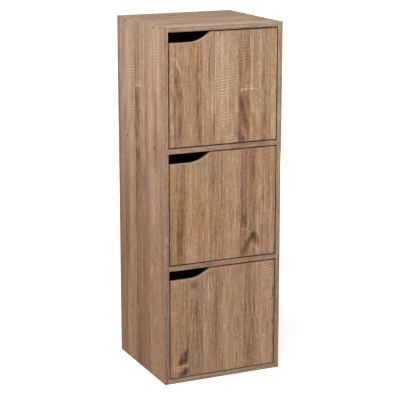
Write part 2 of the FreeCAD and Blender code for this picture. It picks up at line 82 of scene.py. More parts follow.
# A Mix node has sockets for several kinds of value, and these are the ones that mix colours.
MIX_INPUTS = (0, 6, 7)
MIX_OUTPUT = 2


def blend_colour(tree, share, first, second):
    """Two colours mixed by a share that varies over the surface."""
    inputs = dict(zip(MIX_INPUTS, (share, first, second)))
    return add_node(tree, "Mix", inputs, data_type="RGBA").outputs[MIX_OUTPUT]


def slope(tree, value, low, high, out_low=0.0, out_high=1.0):
    """A smooth step from out_low to out_high as the value goes from low to high."""
    inputs = {"Value": value, "From Min": low, "From Max": high, "To Min": out_low, "To Max": out_high}
    return add_node(tree, "MapRange", inputs, interpolation_type="SMOOTHSTEP").outputs[0]


def ramp(tree, value, stops, interpolation="LINEAR"):
    """The outputs of a colour ramp with the given (position, colour) stops."""
    node = add_node(tree, "ValToRGB", {"Fac": value})
    node.color_ramp.interpolation = interpolation
    elements = node.color_ramp.elements
    elements.remove(elements[-1])
    elements[0].position, elements[0].color = stops[0]
    for position, stop_colour in stops[1:]:
        elements.new(position).color = stop_colour
    return node.outputs


def noise(tree, point, scale, detail, **more):
    """The outputs of a noise from 0 to 1, which is alike in all directions."""
    return add_node(tree, "TexNoise", {"Vector": point, "Scale": scale, "Detail": detail, **more}).outputs


def streaks(tree, point, per_metre, detail=1.0):
    """Noise round zero, drawn out along the grain.
    per_metre is its rate across the grain, along it, and from stave to stave."""
    drawn_out = calc_point(tree, "MULTIPLY", point, per_metre)
    return calc(tree, "SUBTRACT", noise(tree, drawn_out, 1.0, detail)["Fac"], 0.5)


def point_at(tree, *parts):
    """A point made from its parts."""
    return add_node(tree, "CombineXYZ", dict(enumerate(parts))).outputs[0]


def split(tree, point):
    """The three parts of a point or of a direction, by the names of the axes."""
    return add_node(tree, "SeparateXYZ", {0: point}).outputs


def new_group(name, inputs, outputs):
    """An empty node group, with number inputs, and the sockets inside it."""
    group = bpy.data.node_groups.new(name, "ShaderNodeTree")
    for socket in inputs:
        group.interface.new_socket(socket, in_out="INPUT", socket_type="NodeSocketFloat")
    for socket, kind in outputs.items():
        group.interface.new_socket(socket, in_out="OUTPUT", socket_type="NodeSocket" + kind)
    given = group.nodes.new("NodeGroupInput")
    result = group.nodes.new("NodeGroupOutput")
    return group, given.outputs, result.inputs


def use_group(tree, group, **inputs):
    """The outputs of a node that stands for the group, with its inputs linked or set by name."""
    return add_node(tree, "Group", inputs, node_tree=group).outputs


# The two inks of the print, from the darkest tone to the palest.
WARM_OAK = [
    (0.0, colour(84, 52, 32)),
    (0.25, colour(130, 91, 61)),
    (0.5, colour(167, 128, 95)),
    (0.75, colour(196, 160, 126)),
    (1.0, colour(225, 195, 162)),
]
GREY_OAK = [
    (0.0, colour(77, 60, 48)),
    (0.25, colour(121, 99, 81)),
    (0.5, colour(157, 131, 110)),
    (0.75, colour(188, 161, 138)),
    (1.0, colour(219, 197, 174)),
]

# Each layer of the grain has a rate per metre, as streaks takes it, and how far it changes the tone.
# The sway bends the other layers instead, and the ink's drift changes the warmth.
SWAY_RATE, SWAY_REACH = (14, 3.2, 50), 0.008
BROAD_RATE, BROAD_TONE = (62, 1.8, 31), 0.32
MIDDLE_RATE, MIDDLE_TONE = (240, 3.0, 43), 0.50
DASH_RATE, DASH_TONE = (340, 120, 29), 0.52
FINE_RATE, FINE_TONE = (780, 22, 57), 0.84
VEIN_RATE, VEIN_TONE = (120, 4.0, 37), -0.09
PORE_RATE, PORE_TONE = (1700, 95, 71), -0.10
INK_RATE, INK_WARMTH = (38, 3.0, 17), 1.4
EVEN_TONE = 0.025
EVEN_WARMTH = 0.12

# A mark changes the tone of its stave, broken by the fibres. Pale marks are warmer, and dark ones greyer.
MARK_TONE = 0.95
MARK_FIBRES = 2.0
MARK_WARMTH = 0.5

# The saw's strokes lie one pitch apart and lean a little. They wander, and are worn away in patches.
# They are faint on planed wood, and where they are strong, less of the grain is left.
SAW_PITCH = 0.0074
SAW_LEAN = 0.11
SAW_WANDER_RATE, SAW_WANDER = (30, 30, 11), 1.6
SAW_WORN_RATE = (48, 36, 23)
SAWN_TONE = 0.17
PLANED_TONE = 0.02
SAWN_GRAIN = 0.45

# The film is satin, smoother where it is pale, and pressed with the grain, the pores and the strokes.
FILM_ROUGH = 0.68
PALE_ROUGH = -0.16
FINE_ROUGH = 0.25
PORE_RELIEF = -0.55
SAW_RELIEF = 3.0


def saw_strokes(group, given, point):
    """Pale and dark strokes across the grain, strong in sawn patches and faint elsewhere."""
    wander = calc(group, "MULTIPLY", streaks(group, point, SAW_WANDER_RATE), SAW_WANDER)
    leaning = calc(group, "MULTIPLY_ADD", given["Across"], SAW_LEAN, given["Along"])
    turns = calc(group, "MULTIPLY_ADD", leaning, 2 * math.pi / SAW_PITCH, wander)
    stroke = slope(group, calc(group, "SINE", turns), low=-0.3, high=0.9, out_low=-0.4, out_high=1.0)
    unworn = slope(group, streaks(group, point, SAW_WORN_RATE), low=-0.25, high=0.1)
    strength = calc(group, "MULTIPLY_ADD", given["Sawn"], SAWN_TONE, PLANED_TONE)
    return calc(group, "MULTIPLY", calc(group, "MULTIPLY", stroke, unworn), strength)


def oak_figure():
    """The finish of the print: streaks, pores and saw marks in a stave of a given tone."""
    inputs = ("Across", "Along", "Tone", "Warmth", "Marks", "Sawn", "Stave")
    outputs = {"Colour": "Color", "Roughness": "Float", "Height": "Float"}
    group, given, result = new_group("oak_figure", inputs, outputs)
    straight = point_at(group, given["Across"], given["Along"], given["Stave"])
    swayed = calc(group, "MULTIPLY_ADD", streaks(group, straight, SWAY_RATE), SWAY_REACH, given["Across"])
    bent = point_at(group, swayed, given["Along"], given["Stave"])
    broad = streaks(group, bent, BROAD_RATE)
    middle = streaks(group, bent, MIDDLE_RATE, detail=2.0)
    dashes = streaks(group, bent, DASH_RATE, detail=2.0)
    fine = streaks(group, bent, FINE_RATE, detail=2.0)
    beside = calc(group, "ABSOLUTE", streaks(group, bent, VEIN_RATE, detail=0.0))
    veins = slope(group, beside, low=0.0, high=0.035, out_low=1.0, out_high=0.0)
    pores = slope(group, streaks(group, bent, PORE_RATE), low=0.08, high=0.2)
    saw = saw_strokes(group, given, straight)

    fibres = calc(group, "ADD", middle, fine)
    broken = calc(group, "MULTIPLY_ADD", fibres, MARK_FIBRES, MARK_TONE)
    grain = add_layers(group, 0.0, (middle, MIDDLE_TONE), (dashes, DASH_TONE), (fine, FINE_TONE))
    grain_kept = slope(group, given["Sawn"], low=0.0, high=1.0, out_low=1.0, out_high=SAWN_GRAIN)
    tone = add_layers(
        group,
        calc(group, "ADD", given["Tone"], EVEN_TONE),
        (given["Marks"], broken),
        (grain, grain_kept),
        (broad, BROAD_TONE),
        (veins, VEIN_TONE),
        (pores, PORE_TONE),
        (saw, 1.0),
    )
    ink = streaks(group, bent, INK_RATE)
    even = calc(group, "ADD", given["Warmth"], EVEN_WARMTH)
    warmth = add_layers(group, even, (ink, INK_WARMTH), (given["Marks"], MARK_WARMTH))
    warm = ramp(group, tone, WARM_OAK)["Color"]
    grey = ramp(group, tone, GREY_OAK)["Color"]
    feed(group, result["Colour"], blend_colour(group, warmth, grey, warm))
    feed(group, result["Roughness"], add_layers(group, FILM_ROUGH, (tone, PALE_ROUGH), (fine, FINE_ROUGH)))
    feed(group, result["Height"], add_layers(group, fibres, (pores, PORE_RELIEF), (saw, SAW_RELIEF)))
    return group


figure = oak_figure()

# What keeps the print from looking drawn: the marks ripple, the staves' edges wander,
# and the rings of an arch fade towards its rim.
RIPPLE_RATE, RIPPLE_REACH = 38.0, (0.005, 0.010, 0)
EDGE_RATE, EDGE_REACH = (0, 9, 0), 0.005
RING_FADE = 0.25


def print_place(name, width, staves, marks, sawn, arches=()):
    """A place on the print roll, with all lengths in metres. width is how far its staves reach across.
    A stave is (where it starts across the roll, tone, warmth).
    A mark is (across, along, half width, half length, lean in degrees, change of tone, softness).
    A sawn patch is the same, with its strength as the change.
    An arch is the same again, and its last number is how many rings lie between its middle and its rim."""
    outputs = dict.fromkeys(("Tone", "Warmth", "Stave", "Marks", "Sawn"), "Float")
    group, given, result = new_group(name, ("Across", "Along"), outputs)
    point = point_at(group, given["Across"], given["Along"])
    ripple = calc_point(group, "SUBTRACT", noise(group, point, RIPPLE_RATE, 1.0)["Color"], (0.5, 0.5, 0.5))
    rippled = calc_point(group, "MULTIPLY_ADD", ripple, RIPPLE_REACH, point)
    edge = calc(group, "MULTIPLY_ADD", streaks(group, point, EDGE_RATE), EDGE_REACH, given["Across"])
    stops = []
    for count, (start, tone, warmth) in enumerate(staves):
        stops.append((start / width, (tone, warmth, 0.0, (count + 0.5) / len(staves))))
    stave = ramp(group, calc(group, "DIVIDE", edge, width), stops, "CONSTANT")
    parts = add_node(group, "SeparateColor", {"Color": stave["Color"]}).outputs

    def cone_at(across, along, half_width, half_length, lean):
        """One in the middle of an oval, falling evenly to nothing at its rim."""
        inputs = {
            "Vector": rippled,
            "Location": (across, along, 0),
            "Rotation": (0, 0, math.radians(lean)),
            "Scale": (half_width, half_length, 1),
        }
        spot = add_node(group, "Mapping", inputs, vector_type="TEXTURE").outputs[0]
        return add_node(group, "TexGradient", {"Vector": spot}, gradient_type="SPHERICAL").outputs["Fac"]

    totals = {"Marks": 0.0, "Sawn": 0.0}
    for socket, patches in (("Marks", marks), ("Sawn", sawn)):
        for *oval, change, softness in patches:
            patch = slope(group, cone_at(*oval), 0.0, softness, 0.0, change)
            totals[socket] = calc(group, "ADD", patch, totals[socket])
    for *oval, change, rings in arches:
        cone = cone_at(*oval)
        inputs = {"W": cone, "Scale": rings, "Detail": 2.0}
        ring_noise = add_node(group, "TexNoise", inputs, noise_dimensions="1D").outputs["Fac"]
        ring = calc(group, "SUBTRACT", ring_noise, 0.5)
        shown = slope(group, cone, 0.0, RING_FADE, 0.0, 2 * change)
        totals["Marks"] = calc(group, "MULTIPLY_ADD", ring, shown, totals["Marks"])
    totals.update(Tone=parts["Red"], Warmth=parts["Green"], Stave=stave["Alpha"])
    for socket, total in totals.items():
        feed(group, result[socket], total)
    return group


# The place on the roll that both sides and the top door share: pale sawn staves
# beside a hatched brown one, with a pale cross line and a dark wedge below it.
first_place = print_place(
    "first_place",
    width=0.40,
    staves=[
        (0.0, 0.63, 0.40),
        (0.008, 0.50, 0.62),
        (0.036, 0.55, 0.62),
        (0.070, 0.49, 0.66),
        (0.084, 0.55, 0.60),
        (0.120, 0.68, 0.58),
        (0.172, 0.63, 0.52),
        (0.184, 0.47, 0.48),
        (0.213, 0.55, 0.45),
        (0.250, 0.53, 0.50),
        (0.272, 0.66, 0.60),
        (0.344, 0.58, 0.62),
    ],
    marks=[
        # two pale lines that bend round the first arch, and the dark streaks in it
        (0.023, 0.092, 0.005, 0.036, -24, 0.12, 0.9),
        (0.034, 0.150, 0.004, 0.044, -6, 0.11, 0.9),
        (0.014, 0.150, 0.007, 0.220, 0, -0.10, 0.8),
        (0.020, 0.140, 0.009, 0.070, 0, -0.17, 0.9),
        (0.026, 0.250, 0.010, 0.050, 0, -0.12, 0.9),
        # streaks in the brown staves, up to the pale sawn one
        (0.073, 0.125, 0.008, 0.060, 0, -0.15, 0.8),
        (0.074, 0.215, 0.009, 0.070, 0, -0.14, 0.8),
        (0.105, 0.100, 0.003, 0.060, 0, -0.24, 0.6),
        (0.113, 0.190, 0.004, 0.090, 0, 0.15, 0.8),
        (0.118, 0.240, 0.004, 0.040, 3, -0.16, 0.8),
        (0.114, 0.260, 0.014, 0.070, 0, -0.10, 0.8),
        # dark and pale patches in the pale sawn stave
        (0.163, 0.200, 0.007, 0.028, 0, -0.13, 0.8),
        (0.162, 0.250, 0.008, 0.026, 0, -0.13, 0.8),
        (0.142, 0.070, 0.014, 0.060, 0, 0.10, 0.9),
        (0.142, 0.190, 0.009, 0.110, 0, 0.10, 0.9),
        # the hatched brown stave above the cross line, and the line
        (0.190, 0.105, 0.008, 0.056, 0, -0.17, 0.7),
        (0.206, 0.085, 0.009, 0.050, 0, -0.08, 0.7),
        (0.210, 0.159, 0.030, 0.0042, 0, 0.24, 0.5),
        (0.216, 0.150, 0.018, 0.0030, 0, 0.14, 0.5),
        # the dark wedge below the cross line
        (0.199, 0.188, 0.016, 0.032, -4, -0.09, 0.4),
        (0.190, 0.194, 0.008, 0.034, -4, -0.10, 0.6),
        (0.185, 0.236, 0.010, 0.036, -8, -0.13, 0.7),
        (0.198, 0.222, 0.012, 0.062, -12, -0.17, 0.6),
        (0.206, 0.240, 0.007, 0.040, -14, -0.06, 0.6),
        (0.189, 0.280, 0.014, 0.036, -22, -0.22, 0.6),
        (0.199, 0.284, 0.006, 0.016, -26, -0.10, 0.6),
        # the leaning lines beside the wedge, and two dark streaks past them
        (0.200, 0.258, 0.0036, 0.034, -22, 0.14, 0.7),
        (0.214, 0.205, 0.005, 0.034, -14, -0.12, 0.7),
        (0.226, 0.213, 0.0045, 0.040, -17, 0.15, 0.8),
        (0.237, 0.220, 0.005, 0.048, -14, 0.14, 0.8),
        (0.222, 0.262, 0.008, 0.034, -8, 0.10, 0.8),
        (0.251, 0.135, 0.006, 0.045, 4, -0.15, 0.8),
        (0.256, 0.240, 0.011, 0.030, 0, -0.12, 0.7),
        # the dark patches in which the wedge ends
        (0.193, 0.335, 0.010, 0.030, 0, -0.20, 0.7),
        (0.205, 0.340, 0.012, 0.040, 10, -0.20, 0.7),
        (0.194, 0.420, 0.009, 0.050, 0, -0.15, 0.7),
        # long soft streaks further along, which show on the sides
        (0.127, 0.510, 0.020, 0.270, 0, -0.23, 0.7),
        (0.146, 0.500, 0.018, 0.260, 0, 0.05, 0.9),
        (0.240, 0.400, 0.013, 0.060, 0, -0.15, 0.8),
        (0.240, 0.600, 0.014, 0.150, 0, -0.07, 0.8),
        (0.268, 0.620, 0.007, 0.220, 0, 0.07, 0.8),
        (0.302, 0.450, 0.018, 0.160, 0, 0.07, 0.9),
        (0.350, 0.520, 0.014, 0.330, 0, -0.10, 0.9),
        # dark lines and a broad shade, in and beside the second pale stave
        (0.258, 0.300, 0.004, 0.030, 0, -0.20, 0.7),
        (0.298, 0.150, 0.004, 0.060, 3, -0.24, 0.6),
        (0.312, 0.185, 0.004, 0.050, -12, -0.18, 0.6),
        (0.316, 0.250, 0.018, 0.140, 0, -0.16, 0.7),
        (0.320, 0.310, 0.050, 0.090, 0, -0.10, 0.8),
        # a small knot, a wide pale streak, and a dark spot near the roll's start
        (0.288, 0.620, 0.010, 0.022, 25, 0.16, 0.6),
        (0.292, 0.600, 0.006, 0.030, -20, -0.14, 0.6),
        (0.206, 0.640, 0.024, 0.300, 0, 0.07, 0.9),
        (0.135, 0.019, 0.006, 0.008, 0, -0.22, 0.8),
        # the whole width darkens further along
        (0.220, 0.430, 0.400, 0.240, 0, -0.04, 0.9),
        (0.220, 0.780, 0.400, 0.560, 0, -0.17, 0.9),
    ],
    sawn=[
        (0.140, 0.137, 0.018, 0.050, 0, 1.0, 0.4),
        (0.164, 0.122, 0.014, 0.046, 0, 1.0, 0.4),
        (0.140, 0.228, 0.018, 0.026, 0, 0.9, 0.5),
        (0.164, 0.222, 0.014, 0.030, 0, 0.6, 0.5),
        (0.161, 0.280, 0.018, 0.018, 0, 1.0, 0.5),
        (0.199, 0.080, 0.018, 0.070, 0, 0.42, 0.4),
        (0.310, 0.066, 0.030, 0.026, 0, 0.8, 0.5),
        (0.330, 0.600, 0.040, 0.030, 0, 0.6, 0.5),
    ],
    arches=[
        (0.004, 0.190, 0.044, 0.150, 0, 0.28, 7.0),
        (0.080, 0.300, 0.034, 0.230, 0, 0.12, 7.0),
        (0.262, 0.310, 0.030, 0.220, 0, 0.10, 6.0),
        (0.205, 0.400, 0.036, 0.120, 0, 0.20, 7.0),
        (0.300, 0.560, 0.050, 0.260, 0, 0.12, 7.0),
        (0.140, 0.640, 0.050, 0.240, 0, 0.12, 7.0),
        (0.240, 0.860, 0.060, 0.220, 0, 0.12, 7.0),
    ],
)

CHIPS_PER_METRE = 420.0
CHIP_COLOURS = [
    (0.0, colour(150, 114, 80)),
    (0.4, colour(186, 150, 112)),
    (0.8, colour(212, 180, 142)),
    (1.0, colour(228, 202, 168)),
]


def raw_chips(tree, point):
    """The colour and relief of cut particleboard: flat chips pressed together."""
    inputs = {"Vector": point, "Scale": CHIPS_PER_METRE, "Randomness": 1.0}
    chips = add_node(tree, "TexVoronoi", inputs).outputs
    tint = add_node(tree, "SeparateColor", {"Color": chips["Color"]}).outputs["Red"]
    return ramp(tree, tint, CHIP_COLOURS)["Color"], chips["Distance"]


def new_material(name):
    """A material with an empty shader, and its node tree."""
    material = bpy.data.materials.new(name)
    material.use_nodes = True
    return material, material.node_tree


def set_shader(tree, finish):
    """Links or sets the sockets of a material's shader, each by its name."""
    shader = tree.nodes["Principled BSDF"]
    for socket, value in finish.items():
        feed(tree, shader.inputs[socket], value)


def finish_shader(tree, shade, rough, height, relief, specular=0.5, metallic=0.0):
    """A surface from its colour, its roughness and a relief in metres, with its shine in plain numbers."""
    bump = add_node(tree, "Bump", {"Strength": 1.0, "Distance": relief, "Height": height})
    finish = {
        "Base Color": shade,
        "Roughness": rough,
        "Normal": bump.outputs[0],
        "Specular IOR Level": specular,
        "Metallic": metallic,
    }
    set_shader(tree, finish)


def dress(node, material):
    """Gives a node of the frame its finish in every slot."""
    for slot in nodes[node].material_slots:
        slot.material = material


def draw_oak(tree, place, across, along, warmth_and_painted_sheen=0.0):
    """The figure of the print at a spot of the roll, with its warmth moved by a given step;
    a step below nought greys the print as a painted sheen.
    """
    layout = {socket.name: socket for socket in use_group(tree, place, Across=across, Along=along)}
    layout["Warmth"] = calc(tree, "ADD", layout["Warmth"], warmth_and_painted_sheen)
    return use_group(tree, figure, Across=across, Along=along, **layout)


AXES = ("X", "Y", "Z")
# A surface faces along an axis when more than this share of its direction lies along it.
FACE_LIMIT = 0.5
RAW_ROUGHER = 0.3
BOARD_RELIEF = 0.0002
FILM_SPECULAR = 0.1


def board_print(node, place, show, across, along, cut_at, warmth_and_painted_sheen=(0.0, 0.0)):
    """Dresses a board with a cutting of the print.
    show, across and along are (axis, direction): the face that shows, and the ways the roll runs on it.
    cut_at is the roll's place at the corner where across and along start.
    The last argument is the step in warmth at the start and at the end of the cutting;
    a step below nought greys the print as a painted sheen.
    The other face is a second cutting, turned half round, and the edges are raw."""
    material, tree = new_material(node + "_print")
    where = add_node(tree, "TexCoord").outputs
    spot = split(tree, where["Object"])
    axis, direction = show
    toward = calc(tree, "MULTIPLY", split(tree, where["Normal"])[axis], float(direction))
    behind = calc(tree, "LESS_THAN", toward, -FACE_LIMIT)
    raw = calc(tree, "LESS_THAN", calc(tree, "ABSOLUTE", toward), FACE_LIMIT)

    low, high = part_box(node)
    roll = []
    ends = []
    for (axis, direction), start in zip((across, along), cut_at):
        index = AXES.index(axis)
        length = high[index] - low[index]
        first = low[index] if direction > 0 else high[index]
        forward = calc(tree, "MULTIPLY_ADD", spot[axis], float(direction), start - direction * first)
        turned = calc(tree, "SUBTRACT", 2 * start + length, forward)
        roll.append(choose(tree, behind, turned, forward))
        ends.append(start + length)
    # The warmth moves along the cutting; where the step is below nought it greys the print as a painted
    # sheen.
    warmth_and_sheen_drift = slope(tree, roll[1], cut_at[1], ends[1], *warmth_and_painted_sheen)
    oak = draw_oak(tree, place, roll[0], roll[1], warmth_and_sheen_drift)

    chips, chip_relief = raw_chips(tree, where["Object"])
    shade = blend_colour(tree, raw, oak["Colour"], chips)
    rough = calc(tree, "MULTIPLY_ADD", raw, RAW_ROUGHER, oak["Roughness"])
    height = calc(tree, "MULTIPLY_ADD", raw, chip_relief, oak["Height"])
    finish_shader(tree, shade, rough, height, BOARD_RELIEF, specular=FILM_SPECULAR)
    dress(node, material)


# The left side is greyer at its top, a painted sheen, and warmer towards the bottom.
board_print(
    "left_side_panel",
    first_place,
    show=("X", -1),
    across=("Y", -1),
    along=("Z", -1),
    cut_at=(0.0685, 0.001),
    warmth_and_painted_sheen=(-0.2, 0.4),
)
board_print(
    "right_side_panel",
    first_place,
    show=("X", 1),
    across=("Y", -1),
    along=("Z", 1),
    cut_at=(0.072, 0.02),
)


# Bottom panel, two shelves and top panel: the same printed board, set between the sides.
# Their grain runs from side to side, and their ends are hidden against the side panels.
calm_place = print_place(
    "calm_place",
    width=0.30,
    staves=[
        (0.0, 0.52, 0.25),
        (0.040, 0.50, 0.30),
        (0.065, 0.44, 0.35),
        (0.105, 0.40, 0.30),
        (0.125, 0.52, 0.20),
        (0.165, 0.48, 0.25),
        (0.187, 0.55, 0.20),
        (0.207, 0.49, 0.30),
        (0.228, 0.40, 0.30),
        (0.249, 0.54, 0.25),
        # the last, palest stave: along the front edge of the top panel it is a painted highlight
        (0.280, 0.68, 0.25),
    ],
    marks=[
        (0.060, 0.080, 0.008, 0.130, 0, -0.22, 0.9),
        (0.100, 0.190, 0.008, 0.110, 0, 0.14, 0.9),
        (0.140, 0.200, 0.008, 0.140, 0, -0.22, 0.9),
        (0.190, 0.100, 0.010, 0.120, 0, -0.20, 0.9),
        (0.230, 0.060, 0.006, 0.110, 1, -0.24, 0.9),
        (0.200, 0.240, 0.010, 0.090, 0, 0.16, 0.9),
        (0.245, 0.170, 0.008, 0.120, 0, 0.12, 0.9),
    ],
    sawn=[(0.100, 0.120, 0.030, 0.030, 0, 0.5, 0.6)],
)
# Where the cutting of each board starts across the roll. The top and the bottom panel start at nought,
# which puts the last, palest stave along their front edge, a painted highlight.
SHELF_CUTTINGS = {"bottom_panel": 0.0, "lower_shelf": -0.054, "upper_shelf": -0.054, "top_panel": 0.0}
for shelf, start in SHELF_CUTTINGS.items():
    board_print(shelf, calm_place, show=("Z", 1), across=("Y", -1), along=("X", 1), cut_at=(start, 0.0))


# Doors: three inset boards, each cut with a finger hole at its upper left corner.
# They are faced with the same print, with the grain standing upright.
second_place = print_place(
    "second_place",
    width=0.292,
    staves=[
        (0.0, 0.49, 0.70),
        (0.016, 0.47, 0.76),
        (0.040, 0.57, 0.64),
        (0.108, 0.51, 0.66),
        (0.142, 0.58, 0.72),
        (0.191, 0.45, 0.62),
        (0.236, 0.54, 0.68),
        (0.262, 0.57, 0.72),
    ],
    marks=[
        # a long dark streak near the left edge, and a pale patch beside it
        (0.026, 0.185, 0.012, 0.150, 1, -0.13, 0.9),
        (0.031, 0.215, 0.007, 0.090, 2, -0.07, 0.9),
        (0.020, 0.210, 0.007, 0.110, 1, -0.14, 0.9),
        (0.056, 0.120, 0.014, 0.110, 0, 0.08, 1.0),
        # dark lines in the stave left of the middle
        (0.117, 0.075, 0.005, 0.070, 0, -0.13, 0.8),
        (0.138, 0.095, 0.004, 0.110, 0, -0.13, 0.8),
        (0.122, 0.215, 0.005, 0.070, -4, -0.12, 0.8),
        (0.131, 0.180, 0.004, 0.060, 3, -0.10, 0.8),
        # lines and soft shades at the upper right
        (0.226, 0.050, 0.004, 0.060, 0, -0.22, 0.7),
        (0.234, 0.070, 0.003, 0.070, 0, 0.18, 0.8),
        (0.202, 0.060, 0.008, 0.070, 0, -0.10, 0.7),
        (0.184, 0.060, 0.010, 0.080, 0, -0.09, 0.9),
        # a dark stem, the pale lines that end it, a dark chevron below with a pale heart,
        # and a dark line to the right of the stem
        (0.196, 0.140, 0.003, 0.070, -1, -0.16, 0.6),
        (0.203, 0.150, 0.010, 0.074, -1, -0.12, 0.7),
        (0.208, 0.185, 0.004, 0.034, -2, -0.15, 0.6),
        (0.200, 0.184, 0.008, 0.030, 4, -0.18, 0.7),
        (0.201, 0.205, 0.014, 0.0040, 8, 0.22, 0.6),
        (0.213, 0.192, 0.003, 0.024, 14, 0.16, 0.7),
        (0.221, 0.214, 0.014, 0.0040, 0, 0.14, 0.7),
        (0.208, 0.252, 0.012, 0.046, 32, -0.28, 0.8),
        (0.221, 0.229, 0.010, 0.016, 40, -0.20, 0.8),
        (0.234, 0.232, 0.013, 0.034, -26, -0.26, 0.8),
        (0.223, 0.262, 0.008, 0.022, 8, 0.16, 0.8),
        (0.245, 0.160, 0.004, 0.090, 0, -0.12, 0.8),
    ],
    sawn=[
        (0.035, 0.050, 0.020, 0.020, 0, 0.35, 0.6),
        (0.215, 0.225, 0.020, 0.020, 0, 0.35, 0.6),
    ],
    arches=[
        (0.120, 0.330, 0.030, 0.220, 0, 0.09, 7.0),
        (0.030, 0.300, 0.026, 0.240, 0, 0.12, 7.0),
        (0.222, 0.300, 0.030, 0.080, 0, 0.22, 5.0),
    ],
)
third_place = print_place(
    "third_place",
    width=0.292,
    staves=[
        (0.0, 0.58, 0.60),
        (0.029, 0.55, 0.62),
        (0.050, 0.49, 0.38),
        (0.090, 0.53, 0.46),
        (0.117, 0.47, 0.60),
        (0.138, 0.60, 0.68),
        (0.165, 0.57, 0.62),
        (0.205, 0.47, 0.38),
        (0.236, 0.63, 0.62),
        (0.283, 0.47, 0.52),
    ],
    marks=[
        # a shade down the left, and a dark knot at its foot with pale lines across it
        (0.026, 0.180, 0.024, 0.190, 0, -0.09, 0.9),
        (0.024, 0.266, 0.026, 0.036, 0, -0.10, 0.9),
        (0.044, 0.212, 0.007, 0.054, 4, -0.20, 0.8),
        (0.037, 0.227, 0.018, 0.030, 24, -0.32, 0.7),
        (0.028, 0.238, 0.014, 0.014, 40, -0.20, 0.8),
        (0.042, 0.264, 0.014, 0.014, 10, -0.34, 0.7),
        (0.032, 0.268, 0.018, 0.008, -20, -0.20, 0.8),
        (0.028, 0.250, 0.028, 0.0050, 0, 0.32, 0.7),
        (0.020, 0.258, 0.018, 0.0030, 0, 0.20, 0.7),
        # dark patches below the finger hole, and two pale lines beside them
        (0.064, 0.038, 0.016, 0.012, 0, -0.18, 0.7),
        (0.072, 0.110, 0.012, 0.050, 0, -0.10, 0.9),
        (0.103, 0.055, 0.003, 0.045, 0, 0.16, 0.7),
        (0.114, 0.070, 0.003, 0.070, 0, 0.16, 0.7),
        # streaks in the middle staves
        (0.124, 0.130, 0.006, 0.150, 0, -0.16, 0.8),
        (0.146, 0.160, 0.006, 0.080, 0, 0.10, 0.8),
        (0.173, 0.100, 0.006, 0.070, 0, -0.12, 0.8),
        # dark lines in the grey stave to the right, and two soft pale patches
        (0.222, 0.120, 0.004, 0.060, -9, -0.16, 0.7),
        (0.234, 0.130, 0.003, 0.050, -9, -0.20, 0.8),
        (0.239, 0.200, 0.003, 0.090, 1, -0.24, 0.8),
        (0.206, 0.160, 0.002, 0.130, 0, -0.20, 0.8),
        (0.215, 0.230, 0.006, 0.050, 0, -0.12, 0.8),
        (0.232, 0.020, 0.012, 0.060, 0, 0.10, 0.9),
        (0.186, 0.240, 0.012, 0.070, 0, 0.07, 0.9),
        # dark nicks down the right edge
        (0.287, 0.085, 0.006, 0.020, 0, -0.22, 0.6),
        (0.287, 0.165, 0.006, 0.012, 0, -0.20, 0.6),
        (0.287, 0.205, 0.006, 0.012, 0, -0.18, 0.6),
    ],
    sawn=[
        (0.258, 0.036, 0.026, 0.036, 0, 1.0, 0.4),
        (0.258, 0.094, 0.026, 0.018, 0, 0.9, 0.5),
        (0.075, 0.060, 0.026, 0.050, 0, 0.35, 0.5),
    ],
    arches=[
        (0.036, 0.246, 0.022, 0.060, 8, 0.24, 4.0),
        (0.075, 0.300, 0.034, 0.230, 0, 0.16, 7.0),
        (0.180, 0.320, 0.030, 0.260, 0, 0.14, 7.0),
        (0.228, 0.330, 0.024, 0.270, 0, 0.20, 6.0),
    ],
)
# The place that each door is cut from, and where its upper left corner lies there.
DOOR_CUTTINGS = {
    "top": (first_place, (0.0, 0.014)),
    "middle": (second_place, (0.0, 0.0)),
    "bottom": (third_place, (0.0, 0.0)),
}
for door, (place, cut_at) in DOOR_CUTTINGS.items():
    board_print(door + "_door", place, show=("Y", -1), across=("X", 1), along=("Z", -1), cut_at=cut_at)


# Edge bands: thin strips of printed edging, glued to the front edges, the tops of the sides and
# all round each door. The print runs along the strip. It is greyer than on the boards, except on
# a door's outer edges, which are a darker brown, painted shade in the gaps round the door,
# with a pale grey strip in the finger hole, a painted highlight on its lip.
BAND_RELIEF = 0.00012
BAND_STAVE = 0.5


def dress_band(node, material, across, along, tone, warmth):
    """Dresses a band with plain grain of one stave, which has no marks and no sawn patches."""
    tree = material.node_tree
    stave = {"Tone": tone, "Warmth": warmth, "Marks": 0.0, "Sawn": 0.0, "Stave": BAND_STAVE}
    oak = use_group(tree, figure, Across=across, Along=along, **stave)
    finish_shader(tree, oak["Colour"], oak["Roughness"], oak["Height"], BAND_RELIEF, specular=FILM_SPECULAR)
    dress(node, material)


def straight_band(node, runs, tones, warmth):
    """A band along one axis, with a tone for its low end and one for its high end."""
    material, tree = new_material(node + "_print")
    spot = split(tree, add_node(tree, "TexCoord").outputs["Object"])
    low, high = (corner[AXES.index(runs)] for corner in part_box(node))
    tone = slope(tree, spot[runs], low, high, *tones)
    across = calc(tree, "ADD", *(spot[axis] for axis in AXES if axis != runs))
    dress_band(node, material, across, spot[runs], tone, warmth)


straight_band("left_side_front_band", "Z", tones=(0.40, 0.52), warmth=0.15)
straight_band("right_side_front_band", "Z", tones=(0.46, 0.52), warmth=-0.15)
for side in ("left", "right"):
    straight_band(side + "_side_top_band", "Y", tones=(0.52, 0.52), warmth=0.20)
for shelf in SHELF_CUTTINGS:
    straight_band(shelf + "_front_band", "X", tones=(0.53, 0.53), warmth=-0.10)

# How far the finger hole reaches from the band's left and upper edges, and the tones in it and round it:
# paler in it, a painted highlight on its lip, and darker brown round it, painted shade in the gaps.
HOLE_WIDE = 0.116
HOLE_DEEP = 0.0248
HOLE_PAINTED_HIGHLIGHT_TONE, HOLE_PAINTED_HIGHLIGHT_WARMTH = 0.72, 0.0
EDGE_PAINTED_SHADE_TONE, EDGE_PAINTED_SHADE_WARMTH = 0.38, 0.90
LEVEL_LIMIT = 0.6


